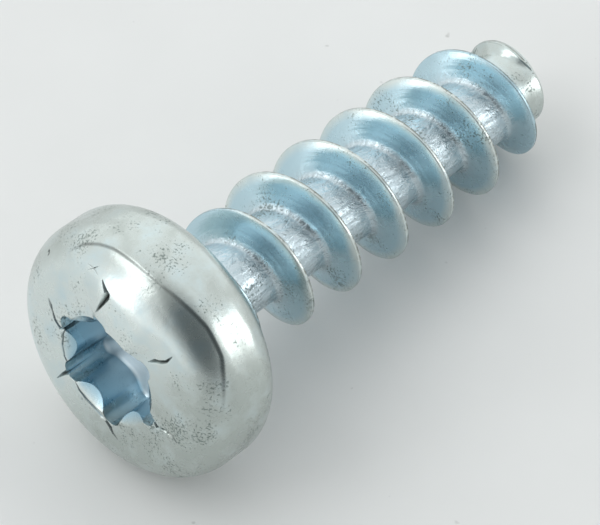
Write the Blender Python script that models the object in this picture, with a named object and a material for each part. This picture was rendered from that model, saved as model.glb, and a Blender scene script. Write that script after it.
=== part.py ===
"""A pan head screw for plastics, 5 x 16 mm, with a six-lobe recess, lying as it comes to rest.

It is made along its own X axis, with the bearing face under the head at x = 0, the head on the
minus side and the tip on the plus side. At the end it is tipped over, until the edge of the head
and the thread both touch the ground.
"""

import math

import bmesh
import bpy
import numpy as np
from mathutils import Matrix, Vector

MM = 0.001

# Shank and thread
LENGTH = 16.0 * MM  # under the head
THREAD_DIAMETER = 5.0 * MM
CORE_DIAMETER = 2.7 * MM
PITCH = 2.25 * MM
CREST_WIDTH = 0.14 * MM
FLANK_ANGLE = math.radians(30.0)  # between the two sides of the ridge
ROOT_FILLET = 0.18 * MM
THREAD_START = 0.145 * MM  # where the middle of the ridge leaves the core
THREAD_START_ANGLE = math.radians(21.0)  # from plus Y towards plus Z
START_TURNS = 0.2  # share of a turn in which the ridge climbs out of the core
FIRST_TURN_FILL = 0.92  # the rolls don't fill the ridge up close to the head
FILLED_AFTER_TURNS = 1.25
FILLING_TURNS = 0.25
TAPER_TURNS = 1.4  # the ridge gets lower before it reaches the end of the tip
TAPER_SHARE = 0.27  # of the thread's radius, where it reaches the end
TAPER_CURVE = 1.8
END_TURNS = 0.42  # share of a turn in which it dies out along the end of the tip

# Tip
TIP_DIAMETER = 2.84 * MM  # the rolls leave the end of the wire a little thicker than the core
TIP_EDGE_RADIUS = 0.12 * MM
TIP_FLARE_LENGTH = 1.2 * MM

# Head
HEAD_DIAMETER = 9.12 * MM
HEAD_HEIGHT = 3.52 * MM
CROWN_RADIUS = 80.0 * MM
TOP_EDGE_RADIUS = 1.52 * MM
BOTTOM_EDGE_RADIUS = 1.15 * MM
NECK_FILLET = 0.1 * MM
HEAD_OFF_CENTRE = 0.2 * MM  # the head was struck a little to one side of the wire
HEAD_OFF_CENTRE_ANGLE = math.radians(261.3)  # from plus Y towards plus Z

# Six-lobe recess
RECESS_ACROSS_LOBES = 4.5 * MM
RECESS_ACROSS_WAISTS = 3.25 * MM
LOBE_RADIUS = 0.39 * MM
LOBES = 6
RECESS_ANGLE = math.radians(18.0)  # where the first lobe points, from plus Y towards plus Z
RECESS_DEPTH = 1.75 * MM  # from the top of the head to the foot of the walls
RECESS_DRAFT = math.radians(1.5)
RECESS_FLOOR_DROP = 0.25 * MM  # how much deeper the middle of the floor is
LEAD_IN_DIAMETER = 4.0 * MM
LEAD_IN_ANGLE = math.radians(110.0)  # the whole angle of the cone

# How finely round shapes are divided
SIDES = 60
CROWN_STEPS = 5
HEAD_EDGE_STEPS = 7
NECK_STEPS = 3
TIP_EDGE_STEPS = 3
LOBE_STEPS = 7
WAIST_STEPS = 6

REACH = 1.0 * MM  # how far the cutters stand out of the head
WELD = 0.0001 * MM
SHARP_EDGE = math.radians(30.0)
STEEPEST_TILT = math.radians(45.0)  # the resting tilt is sought between level and this
HALVINGS = 50  # of that range

THREAD_RADIUS = THREAD_DIAMETER / 2
CORE_RADIUS = CORE_DIAMETER / 2
TIP_RADIUS = TIP_DIAMETER / 2
HEAD_RADIUS = HEAD_DIAMETER / 2


def clear_scene():
    for obj in list(bpy.data.objects):
        bpy.data.objects.remove(obj, do_unlink=True)


def around(x, radius, angle):
    """The point this far along the axis and this far out from it, at this angle round it."""
    return Vector((x, radius * math.cos(angle), radius * math.sin(angle)))


def smooth_step(share):
    share = min(max(share, 0.0), 1.0)
    return share * share * (3.0 - 2.0 * share)


def edge_arc(x, radius, arc_radius, first_angle, last_angle):
    """Points (x, radius) of an arc. Its angle is counted from straight out towards the crown."""
    points = []
    for step in range(HEAD_EDGE_STEPS + 1):
        angle = first_angle + (last_angle - first_angle) * step / HEAD_EDGE_STEPS
        out = radius + arc_radius * math.cos(angle)
        points.append((x - arc_radius * math.sin(angle), out))
    return points


def crown_points(last_radius):
    """Points (x, radius) of the low dome, from its middle to just short of this radius."""
    points = []
    for step in range(CROWN_STEPS):
        radius = last_radius * step / CROWN_STEPS
        sag = CROWN_RADIUS - math.sqrt(CROWN_RADIUS**2 - radius**2)
        points.append((sag - HEAD_HEIGHT, radius))
    return points


def head_centre():
    """Where the head's own axis crosses the bearing face."""
    return around(0.0, HEAD_OFF_CENTRE, HEAD_OFF_CENTRE_ANGLE)


def head_profile():
    """From the middle of the crown over the rim to the bearing face."""
    # The top edge and the dome share a tangent, so their two centres and the point where they
    # meet lie on one line. That gives the height of the edge's centre.
    top_out = HEAD_RADIUS - TOP_EDGE_RADIUS
    between = CROWN_RADIUS - TOP_EDGE_RADIUS
    top_above_dome_centre = math.sqrt(between**2 - top_out**2)
    top_x = CROWN_RADIUS - HEAD_HEIGHT - top_above_dome_centre
    meet_angle = math.atan2(top_above_dome_centre, top_out)
    meet_radius = top_out + TOP_EDGE_RADIUS * math.cos(meet_angle)
    bottom_out = HEAD_RADIUS - BOTTOM_EDGE_RADIUS

    profile = crown_points(meet_radius)
    profile += edge_arc(top_x, top_out, TOP_EDGE_RADIUS, meet_angle, 0.0)
    profile += edge_arc(-BOTTOM_EDGE_RADIUS, bottom_out, BOTTOM_EDGE_RADIUS, 0.0, -math.pi / 2)
    return profile


def spin_profile(bm, profile, centre):
    """Turns an outline about this centre, with its sides in step with those of the thread."""
    points = []
    for x, radius in profile:
        points.append(bm.verts.new(centre + around(x, radius, THREAD_START_ANGLE)))
    edges = [bm.edges.new(pair) for pair in zip(points, points[1:])]
    bmesh.ops.spin(
        bm,
        geom=points + edges,
        cent=centre,
        axis=(1.0, 0.0, 0.0),
        angle=2 * math.pi,
        steps=SIDES,
        use_merge=True,
    )


def crest_radius(turn, last_turn):
    """How far out the top of the ridge is, this many turns after its start."""
    filled = smooth_step(1 + (turn - FILLED_AFTER_TURNS) / FILLING_TURNS)
    fill = FIRST_TURN_FILL + (1 - FIRST_TURN_FILL) * filled
    into_taper = min(max(1 + (turn - last_turn) / TAPER_TURNS, 0.0), 1.0)
    tapered = 1 - TAPER_SHARE * into_taper**TAPER_CURVE
    height = THREAD_RADIUS * min(fill, tapered) - CORE_RADIUS
    ends = smooth_step(turn / START_TURNS) * smooth_step(1 - (turn - last_turn) / END_TURNS)
    return CORE_RADIUS + height * ends


def core_radius(x):
    """The core's radius, which grows to the tip's over the flare."""
    flare = (x - (LENGTH - TIP_EDGE_RADIUS - TIP_FLARE_LENGTH)) / TIP_FLARE_LENGTH
    return CORE_RADIUS + (TIP_RADIUS - CORE_RADIUS) * smooth_step(flare)


def ridge_side(crest):
    """One side of the ridge's section: (distance from the ridge's middle, radius), crest first."""
    full_height = THREAD_RADIUS - CORE_RADIUS
    height = crest - CORE_RADIUS
    slope = math.tan(FLANK_ANGLE / 2)
    foot = CREST_WIDTH / 2 + full_height * slope
    side = [
        (CREST_WIDTH / 2, crest),
        (foot - ROOT_FILLET * slope, CORE_RADIUS + ROOT_FILLET * height / full_height),
        (foot + ROOT_FILLET, CORE_RADIUS),
        (PITCH / 2, CORE_RADIUS),
    ]
    return [(min(away, PITCH / 2), radius) for away, radius in side]


def thread_row(bm, turn, low, high):
    """The points across the ridge at this turn, one pitch wide and cut off at both ends.

    At the tip the ridge stays along the end, as far as the row still has room for it.
    """
    middle = THREAD_START + PITCH * turn
    furthest = high - CREST_WIDTH / 2
    side = ridge_side(crest_radius(turn, (furthest - THREAD_START) / PITCH))
    room = PITCH / 2 - side[2][0]
    ridge = max(min(middle, furthest), middle - room)
    places = [(ridge - away, radius) for away, radius in side[::-1]]
    places += [(ridge + away, radius) for away, radius in side]
    places[0] = (middle - PITCH / 2, CORE_RADIUS)
    places[-1] = (middle + PITCH / 2, CORE_RADIUS)
    along, out = np.array(places).T
    cut = np.clip(along, low, high)
    row = []
    for x, radius in zip(cut, np.interp(cut, along, out)):
        angle = THREAD_START_ANGLE + 2 * math.pi * turn
        row.append(bm.verts.new(around(x, max(radius, core_radius(x)), angle)))
    return row


def add_thread(bm, low, high):
    """Winds a band as wide as the pitch round the core, so that each turn's edges meet.

    The band starts and ends where it is cut off completely. It returns its rings at both ends.
    """
    first = math.floor(((low - THREAD_START) / PITCH - 0.5) * SIDES)
    last = math.ceil(((high - THREAD_START) / PITCH + 0.5) * SIDES)
    rows = [thread_row(bm, step / SIDES, low, high) for step in range(first, last + 1)]
    for row, after in zip(rows, rows[1:]):
        for j in range(len(row) - 1):
            bm.faces.new((row[j], after[j], after[j + 1], row[j + 1]))
    return [row[0] for row in rows[:SIDES]], [row[-1] for row in rows[-SIDES:]]


def add_round(bm, ring, along, out, steps):
    """Carries a ring on by a quarter round, this far along the axis and this far outwards."""
    start = [vertex.co.copy() for vertex in ring]
    for step in range(1, steps + 1):
        angle = math.pi / 2 * step / steps
        onwards = []
        for point in start:
            grown = 1 + out * (1 - math.cos(angle)) / math.hypot(point.y, point.z)
            x = point.x + along * math.sin(angle)
            onwards.append(bm.verts.new((x, point.y * grown, point.z * grown)))
        for i in range(len(ring)):
            bm.faces.new((ring[i - 1], ring[i], onwards[i], onwards[i - 1]))
        ring = onwards
    return ring


def add_bearing_face(bm):
    """The flat ring between the head's lower edge and the neck, which aren't quite concentric."""
    loops = []
    for edge in bm.edges:
        if edge.is_boundary and all(abs(vertex.co.x) < WELD for vertex in edge.verts):
            loops.append(edge)
    bmesh.ops.bridge_loops(bm, edges=loops)


def blank_mesh():
    """Head, shank, thread and tip in one closed skin."""
    bm = bmesh.new()
    spin_profile(bm, head_profile(), head_centre())
    neck, tip = add_thread(bm, NECK_FILLET, LENGTH - TIP_EDGE_RADIUS)
    add_round(bm, neck, -NECK_FILLET, NECK_FILLET, NECK_STEPS)
    bm.faces.new(add_round(bm, tip, TIP_EDGE_RADIUS, -TIP_EDGE_RADIUS, TIP_EDGE_STEPS))
    bmesh.ops.remove_doubles(bm, verts=bm.verts, dist=WELD)
    add_bearing_face(bm)
    return finished(bm, "screw_blank")


def finished(bm, name):
    """A mesh with its points welded and its faces turned outwards."""
    bmesh.ops.remove_doubles(bm, verts=bm.verts, dist=WELD)
    bmesh.ops.recalc_face_normals(bm, faces=bm.faces)
    mesh = bpy.data.meshes.new(name)
    bm.to_mesh(mesh)
    bm.free()
    return mesh


def waist_arc():
    """Radius of the arc between two lobes, and how far its centre is from the axis.

    It passes through the waist and touches the round ends of both lobes.
    """
    waist = RECESS_ACROSS_WAISTS / 2
    lobe_out = RECESS_ACROSS_LOBES / 2 - LOBE_RADIUS
    along = lobe_out * math.cos(math.pi / LOBES)
    squares = lobe_out**2 + waist**2 - LOBE_RADIUS**2
    radius = (squares - 2 * waist * along) / (2 * (along + LOBE_RADIUS - waist))
    return radius, waist + radius


def recess_outline(inset):
    """Points (y, z) round the six lobes, moved inwards by the inset."""
    lobe_out = RECESS_ACROSS_LOBES / 2 - LOBE_RADIUS
    waist_radius, waist_out = waist_arc()
    half = math.pi / LOBES
    across = waist_out * math.sin(half)
    touch = math.atan2(across, waist_out * math.cos(half) - lobe_out)
    points = []
    for lobe in range(LOBES):
        turned = RECESS_ANGLE + 2 * half * lobe
        for step in range(LOBE_STEPS + 1):
            angle = turned + touch * (2 * step / LOBE_STEPS - 1)
            centre = around(0.0, lobe_out, turned)
            points.append(centre + around(0.0, LOBE_RADIUS - inset, angle))
        turned += half
        for step in range(1, WAIST_STEPS):
            angle = turned + math.pi - (touch - half) * (2 * step / WAIST_STEPS - 1)
            centre = around(0.0, waist_out, turned)
            points.append(centre + around(0.0, waist_radius + inset, angle))
    return points


def recess_cutter():
    """A six-lobe plug with a little draft and a shallow cone for its end."""
    bm = bmesh.new()
    loops = []
    for depth in (-REACH, RECESS_DEPTH):
        outline = recess_outline(depth * math.tan(RECESS_DRAFT))
        away = head_centre() + Vector((depth - HEAD_HEIGHT, 0.0, 0.0))
        loops.append([bm.verts.new(point + away) for point in outline])
    top, foot = loops
    floor_x = RECESS_DEPTH + RECESS_FLOOR_DROP - HEAD_HEIGHT
    middle = bm.verts.new(head_centre() + Vector((floor_x, 0.0, 0.0)))
    bm.faces.new(top)
    for i in range(len(top)):
        bm.faces.new((top[i - 1], top[i], foot[i], foot[i - 1]))
        bm.faces.new((foot[i - 1], foot[i], middle))
    return finished(bm, "recess_cutter")


def lead_in_cutter():
    """The cone that breaks the edge between the lobes."""
    bm = bmesh.new()
    radius = LEAD_IN_DIAMETER / 2
    slope = math.tan(LEAD_IN_ANGLE / 2)
    mouth = CROWN_RADIUS - math.sqrt(CROWN_RADIUS**2 - radius**2) - HEAD_HEIGHT
    wide = radius + REACH * slope
    cone = [(mouth - REACH, 0.0), (mouth - REACH, wide), (mouth + radius / slope, 0.0)]
    spin_profile(bm, cone, head_centre())
    return finished(bm, "lead_in_cutter")


def lowest(points, tilt):
    """The height of the lowest of these points when the tip is tilted down by this angle."""
    return min(point.z * math.cos(tilt) - point.x * math.sin(tilt) for point in points)


def resting_tilt(points):
    """The angle at which the head and the thread are both on the ground."""
    head = [point for point in points if point.x <= 0.0]
    shank = [point for point in points if point.x > 0.0]
    low, high = 0.0, STEEPEST_TILT
    for _ in range(HALVINGS):
        tilt = (low + high) / 2
        if lowest(head, tilt) < lowest(shank, tilt):
            low = tilt
        else:
            high = tilt
    return tilt


def resting_place(mesh):
    """The matrix that lays the screw down, with the middle of its footprint on the origin."""
    points = [vertex.co for vertex in mesh.vertices]
    tip_over = Matrix.Rotation(resting_tilt(points), 4, "Y")
    turned = [tip_over @ point for point in points]
    middle_x = (min(p.x for p in turned) + max(p.x for p in turned)) / 2
    middle_y = (min(p.y for p in turned) + max(p.y for p in turned)) / 2
    ground = min(p.z for p in turned)
    return Matrix.Translation((-middle_x, -middle_y, -ground)) @ tip_over


def add_object(mesh, name):
    obj = bpy.data.objects.new(name, mesh)
    bpy.context.scene.collection.objects.link(obj)
    return obj


def cut(obj, mesh):
    """Takes the shape of this mesh out of the object."""
    cutter = add_object(mesh, mesh.name)
    cutter.hide_render = True
    cutter.display_type = "WIRE"
    boolean = obj.modifiers.new("cut_" + mesh.name, "BOOLEAN")
    boolean.operation = "DIFFERENCE"
    boolean.solver = "EXACT"
    boolean.object = cutter


def apply_modifiers(obj):
    """The cuts are applied, so that the edges they make can be marked as sharp."""
    graph = bpy.context.evaluated_depsgraph_get()
    solid = bpy.data.meshes.new_from_object(obj.evaluated_get(graph))
    cutters = [modifier.object for modifier in obj.modifiers]
    obj.modifiers.clear()
    obj.data = solid
    solid.name = obj.name
    for cutter in cutters:
        bpy.data.objects.remove(cutter, do_unlink=True)


def zinc_plate():
    material = bpy.data.materials.new("zinc_plated_steel")
    material.use_nodes = True
    shader = material.node_tree.nodes["Principled BSDF"]
    shader.inputs["Base Color"].default_value = (0.60, 0.66, 0.67, 1.0)
    shader.inputs["Metallic"].default_value = 1.0
    shader.inputs["Roughness"].default_value = 0.28
    return material


def main():
    clear_scene()
    blank = blank_mesh()
    screw = add_object(blank, "pan_head_screw")
    cut(screw, recess_cutter())
    cut(screw, lead_in_cutter())
    apply_modifiers(screw)
    screw.data.transform(resting_place(blank))
    screw.data.materials.append(zinc_plate())
    screw.data.shade_smooth()
    screw.data.set_sharp_from_angle(angle=SHARP_EDGE)


main()
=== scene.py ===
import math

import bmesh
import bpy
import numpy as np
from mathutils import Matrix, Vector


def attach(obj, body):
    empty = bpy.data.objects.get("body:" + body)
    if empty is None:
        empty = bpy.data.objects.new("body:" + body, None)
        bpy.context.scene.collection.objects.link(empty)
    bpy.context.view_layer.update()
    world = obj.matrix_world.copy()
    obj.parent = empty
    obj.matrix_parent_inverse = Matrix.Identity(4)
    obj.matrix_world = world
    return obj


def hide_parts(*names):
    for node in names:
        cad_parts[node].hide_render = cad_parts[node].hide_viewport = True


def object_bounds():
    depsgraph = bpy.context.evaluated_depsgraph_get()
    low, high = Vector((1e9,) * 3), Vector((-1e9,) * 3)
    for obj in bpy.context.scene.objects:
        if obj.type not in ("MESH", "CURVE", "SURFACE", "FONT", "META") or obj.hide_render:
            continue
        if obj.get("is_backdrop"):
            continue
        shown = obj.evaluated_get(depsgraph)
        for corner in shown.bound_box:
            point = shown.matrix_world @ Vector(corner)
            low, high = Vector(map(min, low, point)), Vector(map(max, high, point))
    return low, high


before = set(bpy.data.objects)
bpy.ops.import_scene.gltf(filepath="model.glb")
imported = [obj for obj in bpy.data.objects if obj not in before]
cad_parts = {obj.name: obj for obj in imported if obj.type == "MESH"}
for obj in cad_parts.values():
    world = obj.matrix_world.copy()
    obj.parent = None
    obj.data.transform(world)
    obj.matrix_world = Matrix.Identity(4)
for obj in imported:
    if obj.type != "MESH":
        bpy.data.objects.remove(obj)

# %% [markdown]
# # A pan head screw for plastics, photographed on a pale table
#
# The screw is steel wire. A punch struck its head and the six-lobe recess cold, two flat dies
# rolled the thread, and a bath put a few thousandths of a millimetre of zinc on it, followed by a
# clear passivation that leaves a faint blue. This script builds the same screw as the packed
# model, much more finely, with the cracks, laps, nicks and stains that the photograph shows.

MM = 0.001
cad_low, cad_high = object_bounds()
cad_size = (cad_high - cad_low) / MM
print("packed model, mm:", [round(side, 2) for side in cad_size])

# %% [markdown]
# ## The shape of the screw
#
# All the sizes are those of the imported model, in millimetres. The screw is drawn along its own X
# axis, with the face under the head at x = 0, and is laid down at the end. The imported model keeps
# its faces few, and this one has nearly twenty times as many triangles, so that its edges look
# round from close by.

# %% Sizes in millimetres
LENGTH, PITCH = 16.0, 2.25
THREAD_RADIUS, CORE_RADIUS, TIP_RADIUS = 2.5, 1.35, 1.42
CREST_WIDTH, FLANK_SLOPE, ROOT_FILLET = 0.14, math.tan(math.radians(15.0)), 0.18
THREAD_START, THREAD_START_ANGLE = 0.145, math.radians(21.0)
TIP_EDGE, FLARE = 0.12, 1.2
HEAD_RADIUS, HEAD_HEIGHT, CROWN_RADIUS = 4.56, 3.52, 80.0
TOP_EDGE, BOTTOM_EDGE, NECK_FILLET = 1.52, 1.15, 0.1
HEAD_OFF_CENTRE, OFF_CENTRE_ANGLE = 0.2, math.radians(261.3)
HEAD_CENTRE = HEAD_OFF_CENTRE * np.array([math.cos(OFF_CENTRE_ANGLE), math.sin(OFF_CENTRE_ANGLE)])
RESTING_TILT = math.radians(9.118)
SIDES = 240  # how many sides a turn has
WELD = 0.0001  # points closer than this are one point
print("whole length, mm:", LENGTH + HEAD_HEIGHT)

# %% [markdown]
# ### Head
#
# The head is a solid of revolution: a crown that is almost flat, a large round edge, a smaller
# one underneath and the flat face that presses on the plastic. The punch wasn't quite in line
# with the wire, so the head stands 0.2 mm to one side.

# %% Outline of the head
CROWN_STEPS, EDGE_STEPS, UNDER_STEPS = 13, 72, 18


def arc(x, out, radius, first, last, steps):
    """Points (x, radius) on a quarter round about this middle, between two angles."""
    angles = np.linspace(first, last, steps + 1)
    return [(x - radius * math.sin(a), out + radius * math.cos(a)) for a in angles]


def crown_sag(radius):
    """How much lower the almost flat crown is at this distance from its middle."""
    return CROWN_RADIUS - math.sqrt(CROWN_RADIUS**2 - radius**2)


def head_outline():
    """Points (x, radius) from the middle of the crown to the middle of the underside."""
    top_out = HEAD_RADIUS - TOP_EDGE
    above = math.sqrt((CROWN_RADIUS - TOP_EDGE) ** 2 - top_out**2)
    meet = math.atan2(above, top_out)
    flat = top_out + TOP_EDGE * math.cos(meet)
    outline = [(crown_sag(r) - HEAD_HEIGHT, r) for r in np.linspace(0.0, flat, CROWN_STEPS + 1)[:-1]]
    outline += arc(CROWN_RADIUS - HEAD_HEIGHT - above, top_out, TOP_EDGE, meet, 0.0, EDGE_STEPS)
    under_out = HEAD_RADIUS - BOTTOM_EDGE
    outline += arc(-BOTTOM_EDGE, under_out, BOTTOM_EDGE, 0.0, -math.pi / 2, UNDER_STEPS)[1:]
    return outline + [(0.0, 0.0)]


# %% [markdown]
# A turned shape needs only its outline. Each point of it becomes a ring of points round the
# screw, and neighbouring rings are joined with faces.

# %% Turning the outline


def spun(outline, sides, centre=(0.0, 0.0)):
    """A closed mesh: the outline turned about a line parallel to X through the centre."""
    bm = bmesh.new()
    rings = []
    for x, radius in outline:
        if radius == 0.0:
            rings.append([bm.verts.new((x, *centre))] * sides)
            continue
        ring = []
        for side in range(sides):
            angle = THREAD_START_ANGLE + 2 * math.pi * side / sides
            y, z = radius * math.cos(angle) + centre[0], radius * math.sin(angle) + centre[1]
            ring.append(bm.verts.new((x, y, z)))
        rings.append(ring)
    for ring, after in zip(rings, rings[1:]):
        for i in range(sides):
            corners = dict.fromkeys((ring[i - 1], ring[i], after[i], after[i - 1]))
            bm.faces.new(corners)
    bmesh.ops.recalc_face_normals(bm, faces=bm.faces)
    return bm


def as_object(bm, name):
    """Puts a finished mesh in the scene under this name."""
    mesh = bpy.data.meshes.new(name)
    bm.to_mesh(mesh)
    bm.free()
    made = bpy.data.objects.new(name, mesh)
    bpy.context.scene.collection.objects.link(made)
    return made


head = as_object(spun(head_outline(), SIDES, HEAD_CENTRE), "screw_head")
print("head:", len(head.data.polygons), "faces")

# %% [markdown]
# ### Six-lobe recess
#
# The recess is pressed in by a hardened punch, so its walls carry the punch's smooth finish, with
# a degree or two of draft to let the punch out again. A shallow cone breaks the edge between
# the lobes and leaves the small bright lens shapes round the rim. Both are made as the punch is,
# as solids of their own, and are taken out of the head with a boolean, which keeps sharp edges.

# %% Outline of the recess
ACROSS_LOBES, ACROSS_WAISTS, LOBE_RADIUS = 4.5, 3.25, 0.39
LOBE_OUT, WAIST = ACROSS_LOBES / 2 - LOBE_RADIUS, ACROSS_WAISTS / 2
LOBES, RECESS_ANGLE = 6, math.radians(18.0)
ARC_POINTS = 17


def recess_outline(inset):
    """Points round the lobes. The arc at each waist touches the round ends of both lobes."""
    half = math.pi / LOBES
    along = LOBE_OUT * math.cos(half)
    squares = LOBE_OUT**2 + WAIST**2 - LOBE_RADIUS**2
    waist_radius = (squares - 2 * WAIST * along) / (2 * (along + LOBE_RADIUS - WAIST))
    waist_out = WAIST + waist_radius
    touch = math.atan2(waist_out * math.sin(half), waist_out * math.cos(half) - LOBE_OUT)
    points = []
    for lobe in range(LOBES):
        turned = RECESS_ANGLE + 2 * half * lobe
        swept = turned + touch * np.linspace(-1, 1, ARC_POINTS)
        points += [polar(LOBE_OUT, turned) + polar(LOBE_RADIUS - inset, a) for a in swept]
        turned += half
        swept = turned + math.pi + (touch - half) * np.linspace(1, -1, ARC_POINTS)[1:-1]
        points += [polar(waist_out, turned) + polar(waist_radius + inset, a) for a in swept]
    return points


def polar(radius, angle):
    return np.array([radius * math.cos(angle), radius * math.sin(angle)])


print("recess outline:", len(recess_outline(0.0)), "points")

# %% [markdown]
# The punch is this outline at four depths, a little smaller each time, and a shallow cone below
# them. A second, wider cone makes the lead-in at the mouth.

# %% Cutters for the recess
RECESS_DEPTH, FLOOR_DROP, REACH = 1.75, 0.25, 1.0  # the cutters stand this far out of the head
DRAFT, LEAD_IN_RADIUS, LEAD_IN_SLOPE = math.tan(math.radians(1.5)), 2.0, math.tan(math.radians(55))
WALL_FOOT = 1.65
# depths below the top of the head, and how far inside the outline the punch is there
PUNCH_LEVELS = [(-REACH, -REACH * DRAFT), (WALL_FOOT, WALL_FOOT * DRAFT), (1.72, 0.09), (1.76, 0.16)]
CONE_SIDES = 96


def recess_plug():
    """The punch: walls with draft, a round at their foot and a shallow cone for the end."""
    bm = bmesh.new()
    loops = []
    for depth, inset in PUNCH_LEVELS:
        outline = recess_outline(inset)
        x = depth - HEAD_HEIGHT
        loops.append([bm.verts.new((x, *(point + HEAD_CENTRE))) for point in outline])
    middle = bm.verts.new((RECESS_DEPTH + FLOOR_DROP - HEAD_HEIGHT, *HEAD_CENTRE))
    bm.faces.new(loops[0])
    for i in range(len(loops[0])):
        for loop, after in zip(loops, loops[1:]):
            bm.faces.new((loop[i - 1], loop[i], after[i], after[i - 1]))
        bm.faces.new((loops[-1][i - 1], loops[-1][i], middle))
    bmesh.ops.recalc_face_normals(bm, faces=bm.faces)
    return bm


mouth = crown_sag(LEAD_IN_RADIUS) - HEAD_HEIGHT
cone = [
    (mouth - REACH, 0.0),
    (mouth - REACH, LEAD_IN_RADIUS + REACH * LEAD_IN_SLOPE),
    (mouth + LEAD_IN_RADIUS / LEAD_IN_SLOPE, 0.0),
]
plug = as_object(recess_plug(), "recess_plug")
lead_in = as_object(spun(cone, CONE_SIDES, HEAD_CENTRE), "lead_in_cone")
print("punch:", len(plug.data.polygons), "faces, lead-in:", len(lead_in.data.polygons), "faces")

# %% [markdown]
# ### Cracks round the recess
#
# The cold metal was stretched beyond what it could bear while the punch pushed it outwards, and
# it tore in a handful of short cracks. Each one is cut as a narrow V along a bent line, because
# its two walls then catch the light as a dark line beside a bright one. The points are places on
# the crown in millimetres from its middle, with the half width of the crack there. Two scratches,
# one pit and the torn edges of two lens shapes are cut in the same way.

# %% Where the cracks run
CRACKS = {
    "fork_left": [(0.72, 3.62, 0.02), (0.46, 3.46, 0.07), (0.30, 3.36, 0.11)],
    "fork_stem": [(0.26, 3.44, 0.04), (0.32, 3.32, 0.14), (0.39, 3.02, 0.10), (0.51, 2.64, 0.06),
                  (0.61, 2.38, 0.02)],
    "far_rim": [(2.78, 1.06, 0.03), (2.66, 0.86, 0.08), (2.57, 0.69, 0.05), (2.39, 0.37, 0.07),
                (2.14, 0.21, 0.08), (1.85, 0.33, 0.03)],
    "far_lobe": [(1.40, -1.22, 0.05), (1.62, -1.50, 0.11), (1.82, -1.76, 0.07), (2.07, -2.19, 0.02)],
    "near_lobe": [(-0.20, -2.25, 0.08), (-0.41, -2.39, 0.10), (-0.51, -2.55, 0.06),
                  (-0.80, -2.72, 0.02)],
    "corner": [(-2.05, -0.40, 0.05), (-2.33, -0.67, 0.09), (-2.60, -0.56, 0.06),
               (-2.96, -0.55, 0.09), (-3.19, -0.72, 0.02)],
    "right": [(-1.62, 1.85, 0.02), (-1.89, 2.11, 0.09), (-2.09, 2.22, 0.08), (-2.30, 2.41, 0.06),
              (-2.44, 2.70, 0.02)],
    "lens_edge": [(1.27, -1.62, 0.02), (1.06, -1.86, 0.06), (0.72, -2.01, 0.08), (0.35, -2.11, 0.09),
                  (0.02, -2.22, 0.08), (-0.21, -2.21, 0.03)],
    "left_edge": [(1.89, 0.52, 0.02), (1.99, 0.06, 0.04), (1.98, -0.47, 0.05), (1.84, -0.89, 0.05),
                  (1.63, -1.14, 0.03)],
    "scratch": [(1.51, 3.58, 0.01), (1.23, 3.63, 0.03), (0.95, 3.61, 0.01)],
    "cross_scratch": [(1.42, 3.42, 0.01), (1.20, 3.66, 0.03), (1.08, 3.80, 0.01)],
    "pit": [(3.34, 2.30, 0.04), (3.39, 2.36, 0.11), (3.45, 2.40, 0.04)],
}
print("cracks, scratches and pits:", len(CRACKS))

# %% [markdown]
# A wedge follows each line. Its keel lies in the metal and its back stands clear of the crown, so
# that the boolean never meets two surfaces in one place, which would leave open edges.

# %% Cutters for the cracks
WEDGE_OUT, WEDGE_ABOVE, WEDGE_TALL = 1.2, 0.3, 1.8  # times the half width of the crack


def crown_x(y, z):
    """Where the top of the head is at this place, measured along the screw."""
    radius = math.hypot(y, z)
    edge = max(radius - (HEAD_RADIUS - TOP_EDGE), 0.0)
    flat = min(radius, HEAD_RADIUS - TOP_EDGE)
    return crown_sag(flat) - HEAD_HEIGHT + TOP_EDGE - math.sqrt(TOP_EDGE**2 - edge**2)


def crack_wedge(line):
    """A wedge that follows the line: its keel is in the metal and its back stands clear."""
    bm = bmesh.new()
    places = np.array(line)
    rows = []
    for i, (y, z, half) in enumerate(places):
        step = places[min(i + 1, len(places) - 1), :2] - places[max(i - 1, 0), :2]
        across = WEDGE_OUT * half * np.array([-step[1], step[0]]) / np.linalg.norm(step)
        back = crown_x(y, z) - WEDGE_ABOVE * half
        left, right = np.array([y, z]) + across, np.array([y, z]) - across
        row = [(back, *left), (back + WEDGE_TALL * half, y, z), (back, *right)]
        rows.append([bm.verts.new((p[0], p[1] + HEAD_CENTRE[0], p[2] + HEAD_CENTRE[1])) for p in row])
    for row, after in zip(rows, rows[1:]):
        for j in range(3):
            bm.faces.new((row[j - 1], row[j], after[j], after[j - 1]))
    bm.faces.new(rows[0])
    bm.faces.new(rows[-1])
    bmesh.ops.recalc_face_normals(bm, faces=bm.faces)
    return bm


wedges = [as_object(crack_wedge(line), "crack_" + name) for name, line in CRACKS.items()]
print("widest crack, mm:", 2 * max(place[2] for line in CRACKS.values() for place in line))

# %% [markdown]
# The cutters are taken out of the head one after the other, and then removed.

# %% Cutting the head
for cutter in [plug, lead_in] + wedges:
    boolean = head.modifiers.new(cutter.name, "BOOLEAN")
    boolean.operation, boolean.solver, boolean.object = "DIFFERENCE", "EXACT", cutter
graph = bpy.context.evaluated_depsgraph_get()
cut_head = bpy.data.meshes.new_from_object(head.evaluated_get(graph))
for spent in [head, plug, lead_in] + wedges:
    bpy.data.objects.remove(spent, do_unlink=True)
print("head with recess and cracks:", len(cut_head.polygons), "faces")

# %% [markdown]
# ### Thread
#
# Two flat dies press the thread up out of the wire. The ridge is narrow and steep, with the wide
# gaps that plastic needs, and it ends as a low swelling on the tip. It is built as a band one
# pitch wide that winds round the core, so that each turn's edges meet.

# %% Height of the ridge
FIRST_FILL, FILLED_AFTER, FILLING_TURNS = 0.92, 1.25, 0.25
TAPER_TURNS, TAPER_SHARE, TAPER_CURVE = 1.4, 0.27, 1.8
START_TURNS, END_TURNS = 0.2, 0.42


def smooth(share):
    """From 0 to 1 with a gentle start and end."""
    share = np.clip(share, 0.0, 1.0)
    return share * share * (3.0 - 2.0 * share)


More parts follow.
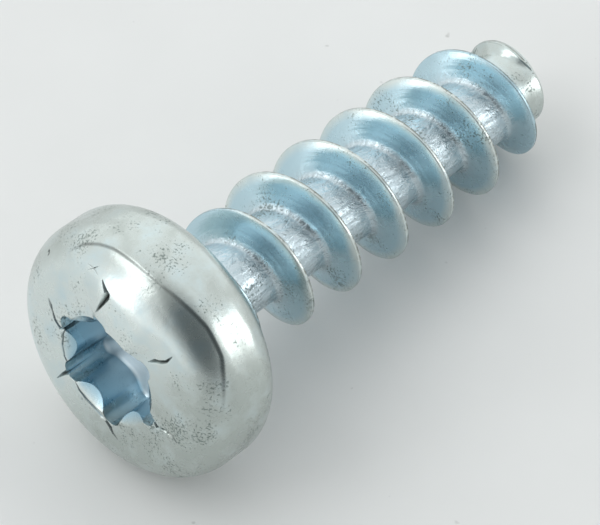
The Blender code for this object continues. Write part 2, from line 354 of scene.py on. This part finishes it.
def crest_radius(turn, last_turn):
    """The ridge climbs out of the core, isn't quite filled at first, and gets lower at the end."""
    fill = FIRST_FILL + (1 - FIRST_FILL) * smooth(1 + (turn - FILLED_AFTER) / FILLING_TURNS)
    into_taper = np.clip(1 + (turn - last_turn) / TAPER_TURNS, 0.0, 1.0)
    height = THREAD_RADIUS * min(fill, 1 - TAPER_SHARE * into_taper**TAPER_CURVE) - CORE_RADIUS
    ending = smooth(1 - (turn - last_turn) / END_TURNS)
    return CORE_RADIUS + height * smooth(turn / START_TURNS) * ending


def core_radius(x):
    """The core is a little thicker at the tip."""
    return CORE_RADIUS + (TIP_RADIUS - CORE_RADIUS) * smooth((x - (LENGTH - TIP_EDGE - FLARE)) / FLARE)


print("first and full height of the ridge, mm:",
      [round(float(crest_radius(turn, 7.0)) - CORE_RADIUS, 2) for turn in (1.0, 3.0)])

# %% [markdown]
# The section of the ridge starts at the crest with a small round, runs down the flank at 15
# degrees to the side, and ends in a curve at the root, where the die pressed the metal aside.

# %% Section of the ridge
CREST_ROUND, MOST_OF_RIDGE, CORNER_IN, CORNER_DROP = 0.03, 0.9, 0.01, 0.2
STRAIGHT_SHARES, FILLET_POINTS = (0.33, 0.67), 6
FOOT = CREST_WIDTH / 2 + (THREAD_RADIUS - CORE_RADIUS) * FLANK_SLOPE


def ridge_side(crest):
    """(distance from the ridge's middle, radius) from the crest down to the core."""
    share = (crest - CORE_RADIUS) / (THREAD_RADIUS - CORE_RADIUS)
    top = min(CREST_ROUND, MOST_OF_RIDGE * (crest - CORE_RADIUS))
    side = [(CREST_WIDTH / 2 - CREST_ROUND, crest)]
    side.append((CREST_WIDTH / 2 - CORNER_IN, crest - CORNER_DROP * top))
    side.append((CREST_WIDTH / 2 + CREST_ROUND * FLANK_SLOPE, crest - top))
    start = np.array([FOOT - ROOT_FILLET * FLANK_SLOPE, CORE_RADIUS + ROOT_FILLET * share])
    for step in STRAIGHT_SHARES:
        side.append(tuple(side[2] + step * (start - side[2])))
    corner, end = np.array([FOOT, CORE_RADIUS]), np.array([FOOT + ROOT_FILLET, CORE_RADIUS])
    for t in np.linspace(0.0, 1.0, FILLET_POINTS):
        side.append(tuple((1 - t) ** 2 * start + 2 * t * (1 - t) * corner + t * t * end))
    return np.array(side)


print("points from crest to core:", len(ridge_side(THREAD_RADIUS)))

# %% [markdown]
# Each row of points crosses the ridge at one angle, and the next row is a small turn further on.
# Three points of a row, on the crest and its corners, are marked in a layer of the mesh: nicks gather
# there, and the far half of the crest gets painted shade.

# %% Winding the band
CORE_POINTS = 4  # on the core, on either side of the ridge
NICK_AND_SHADE_PLACES = {13: 0.4, 15: 0.8, 16: 1.0}  # places in a row, and how strongly the nicks and the painted shade darken them


def thread_row(turn, low, high):
    """The points across the ridge at this turn, cut off at both ends of the shank."""
    middle = THREAD_START + PITCH * turn
    furthest = high - CREST_WIDTH / 2
    side = ridge_side(crest_radius(turn, (furthest - THREAD_START) / PITCH))
    ridge = max(min(middle, furthest), middle - (PITCH / 2 - FOOT - ROOT_FILLET))
    before = np.linspace(middle - PITCH / 2, ridge - side[-1, 0], CORE_POINTS + 1)[:-1]
    after = np.linspace(ridge + side[-1, 0], middle + PITCH / 2, CORE_POINTS + 1)[1:]
    along = np.concatenate([before, ridge - side[::-1, 0], ridge + side[:, 0], after])
    core = np.full(CORE_POINTS, CORE_RADIUS)
    out = np.concatenate([core, side[::-1, 1], side[:, 1], core])
    cut = np.clip(along, low, high)
    radius = np.maximum(np.interp(cut, along, out), core_radius(cut))
    angle = THREAD_START_ANGLE + 2 * math.pi * turn
    return np.column_stack([cut, radius * math.cos(angle), radius * math.sin(angle)])


def wound_band(bm):
    """The rows, joined up. The shoulders of the crest are marked in a layer."""
    crest_nicks_and_shade = bm.verts.layers.float.new("crest_nicks_and_shade")
    low, high = NECK_FILLET, LENGTH - TIP_EDGE
    first = math.floor(((low - THREAD_START) / PITCH - 0.5) * SIDES)
    last = math.ceil(((high - THREAD_START) / PITCH + 0.5) * SIDES)
    rows = []
    for step in range(first, last + 1):
        rows.append([bm.verts.new(point) for point in thread_row(step / SIDES, low, high)])
        for place, share in NICK_AND_SHADE_PLACES.items():
            rows[-1][place][crest_nicks_and_shade] = share
    for row, after in zip(rows, rows[1:]):
        for j in range(len(row) - 1):
            bm.faces.new((row[j], after[j], after[j + 1], row[j + 1]))
    return [row[0] for row in rows[:SIDES]], [row[-1] for row in rows[-SIDES:]]


# %% [markdown]
# The band ends in a ring at the head and one at the tip. A small round leads from the first to
# the underside of the head, and the sheared end of the wire has a small round edge too.

# %% Both ends of the shank
NECK_STEPS, TIP_STEPS = 5, 6


def add_round(bm, ring, along, out, steps):
    """Carries a ring on by a quarter round, this far along the axis and this far outwards."""
    start = [vertex.co.copy() for vertex in ring]
    for angle in np.linspace(0.0, math.pi / 2, steps + 1)[1:]:
        onwards = []
        for point in start:
            grown = 1 + out * (1 - math.cos(angle)) / math.hypot(point.y, point.z)
            x = point.x + along * math.sin(angle)
            onwards.append(bm.verts.new((x, point.y * grown, point.z * grown)))
        for i in range(len(ring)):
            bm.faces.new((ring[i - 1], ring[i], onwards[i], onwards[i - 1]))
        ring = onwards
    return ring


shank = bmesh.new()
neck, tip = wound_band(shank)
add_round(shank, neck, -NECK_FILLET, NECK_FILLET, NECK_STEPS)
tip_end = add_round(shank, tip, TIP_EDGE, -TIP_EDGE, TIP_STEPS)
centre = shank.verts.new((LENGTH, 0.0, 0.0))
for i in range(SIDES):
    shank.faces.new((tip_end[i - 1], tip_end[i], centre))
bmesh.ops.remove_doubles(shank, verts=shank.verts, dist=WELD)
print("shank:", len(shank.faces), "faces")

# %% [markdown]
# ### Head and shank in one skin
#
# The disc that closed the underside is opened, and the flat ring round the neck takes its place.

# %% Joining
shank.from_mesh(cut_head)
disc = []
for vertex in shank.verts:
    if vertex.co.x == 0.0 and (vertex.co.yz - Vector(HEAD_CENTRE)).length < WELD:
        disc.append(vertex)
bmesh.ops.delete(shank, geom=disc, context="VERTS")
bmesh.ops.remove_doubles(shank, verts=shank.verts, dist=WELD)
ends = [e for e in shank.edges if e.is_boundary and all(abs(v.co.x) < WELD for v in e.verts)]
bmesh.ops.bridge_loops(shank, edges=ends)
bmesh.ops.recalc_face_normals(shank, faces=shank.faces)
open_edges = sum(not edge.is_manifold for edge in shank.edges)
print("whole screw:", len(shank.faces), "faces,", open_edges, "open edges")

# %% [markdown]
# ### What this copy of the screw went through
#
# The shape so far is any screw of this kind. The next steps give it the marks of this one. They
# need to know where each point is on the screw: how far from its axis, how far from the middle of
# the head and at which angle round it.

# %% Where each point is
FLAT_TO = 3.0  # the crown is almost flat this far out
HEAD_PART = -1.0  # what lies further back along X can only be the head
screw = as_object(shank, "plated_screw")
mesh = screw.data
own = np.empty(len(mesh.vertices) * 3, np.float32)
mesh.vertices.foreach_get("co", own)
own = own.reshape(-1, 3)
out_of_axis = np.hypot(own[:, 1], own[:, 2])
head_y, head_z = own[:, 1] - HEAD_CENTRE[0], own[:, 2] - HEAD_CENTRE[1]
from_head_axis = np.hypot(head_y, head_z)
flat_x = np.array([crown_sag(min(r, FLAT_TO)) - HEAD_HEIGHT for r in from_head_axis])
head_angle = np.arctan2(head_z, head_y)


def ramp(values, start, width):
    """0 before the start and 1 after the width. A negative width runs the other way."""
    return smooth((values - start) / width)


print("points on the crown:", int((own[:, 0] < flat_x + WELD).sum()))

# %% [markdown]
# The punch pushed up a low swelling on one side of the recess. It is a fifth of a millimetre
# high, but its slopes turn that side of the crown towards the window, and the next to the dark.

# %% Swelling
SWELLING, SWOLLEN_ANGLE = 0.22, math.radians(96)
SWOLLEN_SIDE, SIDE_SLOPE = math.radians(34), math.radians(20)
SWOLLEN_TO, OUTER_SLOPE, CROWN_PART = 4.1, 1.5, -2.3
turned_away = np.abs((head_angle - SWOLLEN_ANGLE + math.pi) % (2 * math.pi) - math.pi)
beside = ramp(turned_away, SWOLLEN_SIDE, -SIDE_SLOPE)
climb = np.clip((SWOLLEN_TO - from_head_axis) / OUTER_SLOPE, 0.0, 1.0)
swollen = SWELLING * beside * climb * (own[:, 0] < CROWN_PART)
print("highest point of the swelling, mm:", round(float(swollen.max()), 3))

# %% [markdown]
# The two halves of the heading die left a fine step round the edge of the head. The metal outside it
# stands a few hundredths of a millimetre proud, and a dark line of painted shade runs along the
# corner. The first list goes round the head in degrees, and the second says how far up the round edge
# the step is there.

# %% Step round the edge
STEP_ANGLES = [50, 55, 61, 69, 77, 94, 104, 115, 128, 141, 148, 155, 165]
STEP_PLACES = [50, 43, 35, 29, 26, 27, 25, 19, 11, 11, 17, 22, 28]
STEP_HEIGHT, STEP_WIDTH, TAIL_END, TAIL_SLOPE, STEP_SHADE_WIDTH = 0.04, 3.0, 22, 21, 2.5
STEP_FROM, FADES_IN, STEP_TO, FADES_OUT = 50, 12, 168, 20
STEP_SHADE_SHARE = 0.6
EDGE_FROM, EDGE_PART = 3.6, -0.8
around = np.degrees(head_angle)
above_side = np.degrees(np.arctan2(-(own[:, 0] + HEAD_HEIGHT - TOP_EDGE),
                                   from_head_axis - (HEAD_RADIUS - TOP_EDGE)))
from_step = above_side - np.interp(around, STEP_ANGLES, STEP_PLACES)
fade = ramp(around, STEP_FROM, FADES_IN) * ramp(around, STEP_TO, -FADES_OUT)
fade = fade * (from_head_axis > EDGE_FROM) * (own[:, 0] < EDGE_PART)
tail = np.clip((TAIL_END + from_step) / TAIL_SLOPE, 0.0, 1.0)
proud = np.clip(0.5 - from_step / STEP_WIDTH, 0.0, 1.0) * tail * fade
# painted shade: a dark line along the step round the head
step_shade = np.clip(1.0 - np.abs(from_step) / STEP_SHADE_WIDTH, 0.0, 1.0) * fade
print("points that stand proud:", int((proud > 0).sum()))

# %% [markdown]
# The bottom of the cracks is painted dark as painted shade, and nothing rubs the zinc inside the
# recess. Both are found from how deep a point is below the crown. A crack is also near one of its
# lines.

# %% Inside the recess and the cracks
RECESS_EDGE, RECESS_FADE, RECESS_OUT = 0.03, 0.08, 2.3
CRACK_EDGE, CRACK_FADE, CRACK_NEAR, FAR_OFF = 0.01, 0.05, 0.02, 9.0
FLOOR_FROM, FLOOR_FADE = 1.6, 0.08
below = own[:, 0] - flat_x
crown = np.array([crown_x(*place) if math.hypot(*place) < HEAD_RADIUS else 0.0
                  for place in np.column_stack([head_y, head_z]).tolist()])
in_recess = ramp(below, RECESS_EDGE, RECESS_FADE) * (from_head_axis < RECESS_OUT)
in_recess = in_recess * (own[:, 0] < HEAD_PART)
off_line = np.full(len(own), FAR_OFF)
for line in CRACKS.values():
    ends = np.array(line)
    for start, end in zip(ends[:, :2], ends[1:, :2]):
        along = np.column_stack([head_y, head_z]) - start
        share = np.clip(along @ (end - start) / ((end - start) @ (end - start)), 0.0, 1.0)
        apart = np.linalg.norm(along - share[:, None] * (end - start), axis=1)
        off_line = np.minimum(off_line, apart)
in_crack = smooth((own[:, 0] - crown - CRACK_EDGE) / CRACK_FADE)
in_crack = in_crack * (off_line < CRACK_NEAR) * (own[:, 0] < CROWN_PART)
floor_of_recess = ramp(below, FLOOR_FROM, FLOOR_FADE) * in_recess
print("points in the recess and in cracks:", int((in_recess > 0).sum()), int((in_crack > 0).sum()))

# %% [markdown]
# Screws tumble against each other in the plating barrel and in the box. That rubs the crown, the
# crests and the tip, and leaves the core alone. The tip is duller than the rest, and the colour of the
# head is made darker towards its rim and towards its lower side.

# %% Wear, and a darker rim and lower side of the head
UNDERSIDE, NECK_OUT, CREST_FROM, CREST_FADE = 0.01, 1.6, 2.38, 0.1
ON_TIP, TIP_FADE, TIP_OUT, TIP_DULL = 14.6, 0.8, 1.95, 0.7
CORE_OUT, CORE_FADE, CORE_FROM, CORE_END = 1.62, 0.22, 0.05, 0.6
DOWN_Y, DOWN_Z, LOWER_START, LOWER_FADE = 0.8, 0.6, 0.5, 3.0
RIM_DARKENING, RIM_FADE = 0.75, 0.8
on_head = (own[:, 0] < UNDERSIDE) & (out_of_axis > NECK_OUT) | (own[:, 0] < HEAD_PART)
crest_wear = ramp(out_of_axis, CREST_FROM, CREST_FADE)
tip_wear = ramp(own[:, 0], ON_TIP, TIP_FADE) * (out_of_axis < TIP_OUT)
rubbed = np.where(on_head, 1.0 - in_recess, np.maximum(crest_wear, tip_wear))
core_wear = ramp(out_of_axis, CORE_OUT, -CORE_FADE) * (own[:, 0] > CORE_FROM)
core_wear = core_wear * ramp(own[:, 0], ON_TIP, -CORE_END)
# the colour of the head is made darker towards its lower side and towards its rim
downwards = smooth((LOWER_START - DOWN_Y * head_y - DOWN_Z * head_z) / LOWER_FADE)
rim_darkening = RIM_DARKENING * ramp(from_head_axis, EDGE_FROM, RIM_FADE)
dull_tip_and_darker_head = TIP_DULL * tip_wear + on_head * np.maximum(downwards, rim_darkening)
print("share of the points that is rubbed:", round(float(rubbed.mean()), 2))

# %% [markdown]
# The mesh is moved to its swollen shape, and the shader gets everything found so far, stored at
# the points. The screw's own coordinates go with it, in millimetres, so that the finish can
# follow the screw's axis.

# %% What the shader gets


def paint(name, values):
    """Stores one number, or one vector, at each point of the mesh."""
    kind, key = ("FLOAT_VECTOR", "vector") if values.ndim == 2 else ("FLOAT", "value")
    layer = mesh.attributes.new(name, kind, "POINT")
    layer.data.foreach_set(key, np.ascontiguousarray(values, np.float32).ravel())


own[:, 0] -= swollen
own[:, 1] += STEP_HEIGHT * proud * np.cos(head_angle)
own[:, 2] += STEP_HEIGHT * proud * np.sin(head_angle)
mesh.vertices.foreach_set("co", own.ravel())
paint("own_mm", own)
# painted shade in the cracks and along the step round the head
paint("painted_crack_and_step_shade", np.maximum(in_crack, STEP_SHADE_SHARE * step_shade))
paint("dull_tip_and_darker_head", dull_tip_and_darker_head)
paint("recess_floor", floor_of_recess)
paint("rubbed", rubbed)
paint("recessed", in_recess)
paint("core", core_wear)
print("stored:", [layer.name for layer in mesh.attributes if not layer.name.startswith(".")])

# %% [markdown]
# ### Laying it down
#
# A screw on a table rests on the edge of its head and on one turn of the thread. It is tilted to
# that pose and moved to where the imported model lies.

# %% Laying it down
SHARP = math.radians(28)
mesh.transform(Matrix.Rotation(RESTING_TILT, 4, "Y") @ Matrix.Scale(MM, 4))
points = np.empty(len(mesh.vertices) * 3, np.float32)
mesh.vertices.foreach_get("co", points)
points = points.reshape(-1, 3)
low, high = points.min(axis=0), points.max(axis=0)
shift = (np.array(cad_low) + np.array(cad_high) - low - high) / 2
mesh.transform(Matrix.Translation(shift.tolist()))
mesh.shade_smooth()
mesh.set_sharp_from_angle(angle=SHARP)
print("own box, mm:", [round(float(side), 2) for side in (high - low) / MM])

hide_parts("pan_head_screw")
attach(screw, "root")

# %% [markdown]
# ## The finish
#
# Zinc is a pale, slightly bluish metal. The clear passivation on top of it is a film thinner than
# a wavelength of light, and where nothing has rubbed it, on the flanks and in the recess, it looks
# clearly blue. The crown and the tip have rubbed against other screws in the barrel, so they are
# greyer. A metal's colour is what it mirrors, so these colours tint the lamps and the room.

# %% Colours and nodes


def linear(hex_colour):
    """A colour written as sRGB hex digits, as the linear numbers that the shader takes."""
    parts = [int(hex_colour[i : i + 2], 16) / 255 for i in (0, 2, 4)]
    return (*[p / 12.92 if p <= 0.04045 else ((p + 0.055) / 1.055) ** 2.4 for p in parts], 1.0)


def add(tree, kind, inputs=(), **settings):
    """Adds a node, with its settings, and sets or links its sockets."""
    made = tree.nodes.new("ShaderNode" + kind)
    for name, value in settings.items():
        setattr(made, name, value)
    for socket, value in dict(inputs).items():
        if isinstance(value, bpy.types.NodeSocket):
            tree.links.new(value, made.inputs[socket])
        else:
            made.inputs[socket].default_value = value
    return made


RUBBED_ZINC = linear("DAE3E1")
BLUE_ZINC = linear("BED8E2")
CORE_ZINC = linear("C6D4DA")
DARKER_GREY_ZINC = linear("B6BEBA")
RECESS_ZINC = linear("A0C2D2")
# painted light: the floor of the recess is paler where light from the mouth falls on it
PAINTED_LIGHT_ON_FLOOR = linear("E2EEF4")
# darker nicks, and painted shade on the far half of the crests
NICK_AND_SHADE = linear("57584C")
STAIN = linear("6F7C78")
# painted shade for the cracks and for the step round the head
CRACK_AND_STEP_SHADE = linear("2B2D2B")
print("rubbed zinc, linear:", [round(part, 2) for part in RUBBED_ZINC])

# %% [markdown]
# The material is steel with a rolled or struck surface, a few thousandths of a millimetre of zinc
# and the clear blue passivation on top. The eye sees soft, slightly blurred reflections, blue in
# the hollows and grey where the film is thin. A cloudy pattern breaks up each border between them.

# %% Tint of the plating
CLOUD_CONTRAST = 1.9


def stored(name, output="Fac"):
    """What the mesh keeps at its points under this name."""
    return add(tree, "Attribute", attribute_name=name).outputs[output]


def mixed(share, first, second):
    """A colour that goes from the first to the second as the share goes from 0 to 1."""
    return add(tree, "Mix", {0: share, 6: first, 7: second}, data_type="RGBA").outputs[2]


def times(value, factor, **settings):
    """A node that multiplies."""
    return add(tree, "Math", {0: value, 1: factor}, operation="MULTIPLY", **settings).outputs[0]


def times_plus(value, factor, more):
    """A node that multiplies and then adds."""
    return add(tree, "Math", {0: value, 1: factor, 2: more}, operation="MULTIPLY_ADD").outputs[0]


plate = bpy.data.materials.new("zinc_plated_steel")
plate.use_nodes = True
tree = plate.node_tree
shader = tree.nodes["Principled BSDF"]
where, rubbing, recessed = stored("own_mm", "Vector"), stored("rubbed"), stored("recessed")
on_floor, on_core = stored("recess_floor"), stored("core")
cloud = add(tree, "TexNoise", {"Vector": where, "Scale": 1.1, "Detail": 4.0, "Roughness": 0.6})
cloudy = cloud.outputs["Fac"]
worn = times(times(rubbing, cloudy), CLOUD_CONTRAST, use_clamp=True)
patchy = times(times(stored("dull_tip_and_darker_head"), cloudy), CLOUD_CONTRAST, use_clamp=True)
tint = mixed(on_core, mixed(worn, BLUE_ZINC, RUBBED_ZINC), CORE_ZINC)
# greyer at the worn tip, and darker towards the lower side and the rim of the head
tint = mixed(recessed, mixed(patchy, tint, DARKER_GREY_ZINC), RECESS_ZINC)
# painted light on the floor of the recess
tint = mixed(on_floor, tint, PAINTED_LIGHT_ON_FLOOR)
print("tint:", len(tree.nodes), "nodes")

# %% [markdown]
# Specks of stain gather in clusters: a coarse pattern says where there are any, and a fine one,
# with 13 waves to the millimetre, gives the specks themselves. The recess stays clean.

# %% Stains
STAIN_STRENGTH = 0.7
cluster = add(tree, "TexNoise", {"Vector": where, "Scale": 0.8, "Detail": 2.0})
fine = add(tree, "TexNoise", {"Vector": where, "Scale": 13.0, "Detail": 2.0, "Roughness": 0.5})
both = times(cluster.outputs["Fac"], fine.outputs["Fac"])
specks = add(tree, "MapRange", {"Value": both, "From Min": 0.335, "From Max": 0.41}).outputs["Result"]
outside = add(tree, "Math", {0: 1.0, 1: recessed}, operation="SUBTRACT").outputs[0]
colour = mixed(times(times(specks, STAIN_STRENGTH), outside), tint, STAIN)
print("with stains:", len(tree.nodes), "nodes")

# %% [markdown]
# The edges of the crests are nicked here and there, and the far half of each crest is darkened as
# painted shade. The cracks and the step round the head get painted shade too.

# %% Nicks, and painted shade on the crests, in the cracks and along the step
nick_and_shade_share = add(tree, "TexNoise", {"Vector": where, "Scale": 3.5, "Detail": 3.0, "Roughness": 0.7})
nick_and_shade_share = add(tree, "MapRange", {"Value": nick_and_shade_share.outputs["Fac"], "From Min": 0.4, "From Max": 0.55,
                               "To Min": 0.3})
# painted shade on the far half of each crest, darker still at the nicks
colour = mixed(times(stored("crest_nicks_and_shade"), nick_and_shade_share.outputs["Result"]), colour, NICK_AND_SHADE)
# painted shade in the cracks and along the step
colour = mixed(stored("painted_crack_and_step_shade"), colour, CRACK_AND_STEP_SHADE)
print("with nicks and dirt:", len(tree.nodes), "nodes")

# %% [markdown]
# The bath leaves a fine grain, and the wire under it is never quite smooth. On the core the dies
# folded the metal into laps along the turns, and on the flanks they left fine rings. The heights
# are in millimetres, as the bump's distance is one millimetre.

# %% Relief
GRAIN_HEIGHT, WAVE_HEIGHT, LAP_HEIGHT, RING_HEIGHT = 0.0018, 0.012, 0.07, 0.004
grain = add(tree, "TexNoise", {"Vector": where, "Scale": 16.0, "Detail": 2.0})
waves = add(tree, "TexNoise", {"Vector": where, "Scale": 1.6, "Detail": 2.0})
stretched = add(tree, "VectorMath", {0: where, 1: (0.3, 1.0, 1.0)}, operation="MULTIPLY")
laps = add(tree, "TexNoise", {"Vector": stretched.outputs[0], "Scale": 4.5, "Detail": 4.0,
                              "Roughness": 0.65, "Distortion": 0.6})
across = add(tree, "VectorMath", {0: where, 1: (0.0, 1.0, 1.0)}, operation="MULTIPLY")
radius = add(tree, "VectorMath", {0: across.outputs[0]}, operation="LENGTH")
rings = add(tree, "TexNoise", {"W": radius.outputs["Value"], "Scale": 9.0, "Detail": 3.0},
            noise_dimensions="1D")
unrubbed = add(tree, "MapRange", {"Value": rubbing, "To Min": RING_HEIGHT, "To Max": 0.0})
height = times(grain.outputs["Fac"], GRAIN_HEIGHT)
height = times_plus(waves.outputs["Fac"], WAVE_HEIGHT, height)
height = times_plus(times(laps.outputs["Fac"], on_core), LAP_HEIGHT, height)
height = times_plus(rings.outputs["Fac"], unrubbed.outputs["Result"], height)
print("with relief:", len(tree.nodes), "nodes")

# %% [markdown]
# No edge of a plated part is sharp, so a bevel rounds each one by a few hundredths of a
# millimetre in the shading. Stained zinc and the floor of the recess mirror less clearly.

# %% Edges and gloss
EDGE_ROUND = 0.035 * MM
STAIN_ROUGHNESS, FLOOR_ROUGHNESS = 0.25, 0.3
rounded = add(tree, "Bevel", {"Radius": EDGE_ROUND}, samples=6)
bump = add(tree, "Bump", {"Strength": 1.0, "Distance": MM, "Height": height,
                          "Normal": rounded.outputs[0]})
sheen = add(tree, "MapRange", {"Value": cloudy, "From Min": 0.3, "From Max": 0.7,
                               "To Min": 0.2, "To Max": 0.32})
rough = times_plus(specks, STAIN_ROUGHNESS, sheen.outputs["Result"])
rough = times_plus(on_floor, FLOOR_ROUGHNESS, rough)
tree.links.new(colour, shader.inputs["Base Color"])
tree.links.new(rough, shader.inputs["Roughness"])
tree.links.new(bump.outputs[0], shader.inputs["Normal"])
shader.inputs["Metallic"].default_value = 1.0
mesh.materials.append(plate)
print("finish:", len(tree.nodes), "nodes")

# %% [markdown]
# ## The table
#
# The screw was photographed on pale, even card. Pressed paper pulp has hardly any gloss, so it
# shows the screw's soft shadow and no reflection, and a few specks of dust lie on it.

# %% Table
TABLE_RADIUS, TABLE_SIDES, CARD_ROUGHNESS = 2.0, 96, 0.45
bm = bmesh.new()
bmesh.ops.create_circle(bm, cap_ends=True, segments=TABLE_SIDES, radius=TABLE_RADIUS)
table = as_object(bm, "table")
table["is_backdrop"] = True
card = bpy.data.materials.new("pale_card")
card.use_nodes = True
tree = card.node_tree
shader = tree.nodes["Principled BSDF"]
place = add(tree, "TexCoord").outputs["Object"]
mottle = add(tree, "TexNoise", {"Vector": place, "Scale": 220.0, "Detail": 3.0})
dust = add(tree, "TexNoise", {"Vector": place, "Scale": 1500.0, "Detail": 2.0})
dust = add(tree, "MapRange", {"Value": dust.outputs["Fac"], "From Min": 0.74, "From Max": 0.8,
                              "To Max": 0.5})
paper = mixed(mottle.outputs["Fac"], linear("E7E8E7"), linear("EEEFEE"))
paper = mixed(dust.outputs["Result"], paper, linear("9A9A96"))
tree.links.new(paper, shader.inputs["Base Color"])
shader.inputs["Roughness"].default_value = CARD_ROUGHNESS
table.data.materials.append(card)
print("table:", 2 * TABLE_RADIUS, "m across,", len(tree.nodes), "nodes")

# %% [markdown]
# ## Camera
#
# The camera was fitted to the photograph together with the size of the screw: it looks down from
# the head's end with a long lens. The values are its place in metres and the directions of its
# own three axes.

# %% Camera
FOCAL_LENGTH, SENSOR = 243.7635, 36.0
CAMERA = Vector((-0.0573876, -0.0547142, 0.1106081))
RIGHT = Vector((0.6958005, -0.7182344, 0.0010012))
UP = Vector((0.5810073, 0.5636780, 0.5871095))
BACK = Vector((-0.4222466, -0.4079294, 0.8095069))
camera_data = bpy.data.cameras.new("camera")
camera_data.sensor_width, camera_data.lens = SENSOR, FOCAL_LENGTH
camera_data.clip_start, camera_data.clip_end = 0.005, 10.0
camera = bpy.data.objects.new("camera", camera_data)
camera.matrix_world = Matrix.Translation(CAMERA) @ Matrix((RIGHT, UP, BACK)).transposed().to_4x4()
bpy.context.scene.collection.objects.link(camera)
bpy.context.scene.camera = camera
print("camera:", round(CAMERA.length / MM), "mm from the middle of the table")

# %% [markdown]
# ## Light
#
# The light is soft and comes from the left of the camera, as from a window and a lower one beside
# it. A paler wall on the right fills the shadows. Zinc shows each of them as a long, blurred
# highlight, so their places and sizes are estimates from the highlights in the photograph.

# %% Lamps


def direction(beside, height):
    """A direction: degrees to the right of the camera, and degrees above the table."""
    turned = math.atan2(BACK.y, BACK.x) + math.radians(beside)
    level = math.cos(math.radians(height))
    return Vector((math.cos(turned) * level, math.sin(turned) * level, math.sin(math.radians(height))))


def soft_lamp(name, beside, height, away, wide, tall, power):
    """A rectangular lamp in this direction and this many metres away, facing the screw."""
    data = bpy.data.lights.new(name, "AREA")
    data.shape, data.size, data.size_y, data.energy = "RECTANGLE", wide, tall, power
    lamp = bpy.data.objects.new(name, data)
    lamp.location = direction(beside, height) * away
    lamp.rotation_euler = direction(beside, height).to_track_quat("Z", "Y").to_euler()
    bpy.context.scene.collection.objects.link(lamp)
    lamp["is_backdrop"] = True
    print(name, "gives", power, "W from", away, "m")


# degrees to the right of the camera and above the table, metres away, wide and tall, and watts
LAMPS = {
    "window": (-88, 54, 0.5, 0.36, 0.18, 0.32),
    "low_window": (-70, 20, 0.5, 0.14, 0.36, 0.21),
    "right_wall": (88, 15, 0.4, 0.10, 0.2, 0.14),
}
for name, values in LAMPS.items():
    soft_lamp(name, *values)

# %% [markdown]
# The rest of the room is a shell round the table. It is pale, brighter on the far side, and dark
# above the camera and to its right. The round edge of the head mirrors that one wide soft patch
# as its dark band.

# %% Room
# Here -X points to the camera's side of the room and -Y to the right of the camera.
DARKEST, DARK_FROM, DARK_FULL = (-0.69, -0.28, 0.67), 1.07, 0.35
world = bpy.data.worlds.new("room")
world.use_nodes = True
bpy.context.scene.world = world
tree = world.node_tree
background = tree.nodes["Background"]
turn = math.pi - math.atan2(BACK.y, BACK.x)
way = add(tree, "TexCoord").outputs["Generated"]
turned = add(tree, "Mapping", {"Vector": way, "Rotation": (0.0, 0.0, turn)}, vector_type="POINT")
from_dark = add(tree, "VectorMath", {0: turned.outputs[0], 1: DARKEST}, operation="DISTANCE")
dark = add(tree, "MapRange", {"Value": from_dark.outputs["Value"], "From Min": DARK_FROM,
                              "From Max": DARK_FULL}, interpolation_type="SMOOTHSTEP")
parts = add(tree, "SeparateXYZ", {0: turned.outputs[0]})
strength = add(tree, "MapRange", {"Value": parts.outputs["X"], "From Min": 0.2, "From Max": 0.9,
                                  "To Min": 1.12, "To Max": 1.38})
shell = mixed(dark.outputs["Result"], linear("F2F4F4"), linear("666D70"))
tree.links.new(shell, background.inputs["Color"])
tree.links.new(strength.outputs["Result"], background.inputs["Strength"])
print("room:", len(tree.nodes), "nodes")

# %% [markdown]
# The colours were matched to the photograph without a film-like curve, so none is used.

# %% Picture
bpy.context.scene.view_settings.view_transform = "Standard"
print("view transform:", bpy.context.scene.view_settings.view_transform)

# %% [markdown]
# ## Finish
#
# The box of the fine model is printed, as that of the imported one was at the start.

# %% Boxes
low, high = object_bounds()
print("fine model, mm:", [round(side / MM, 2) for side in high - low])
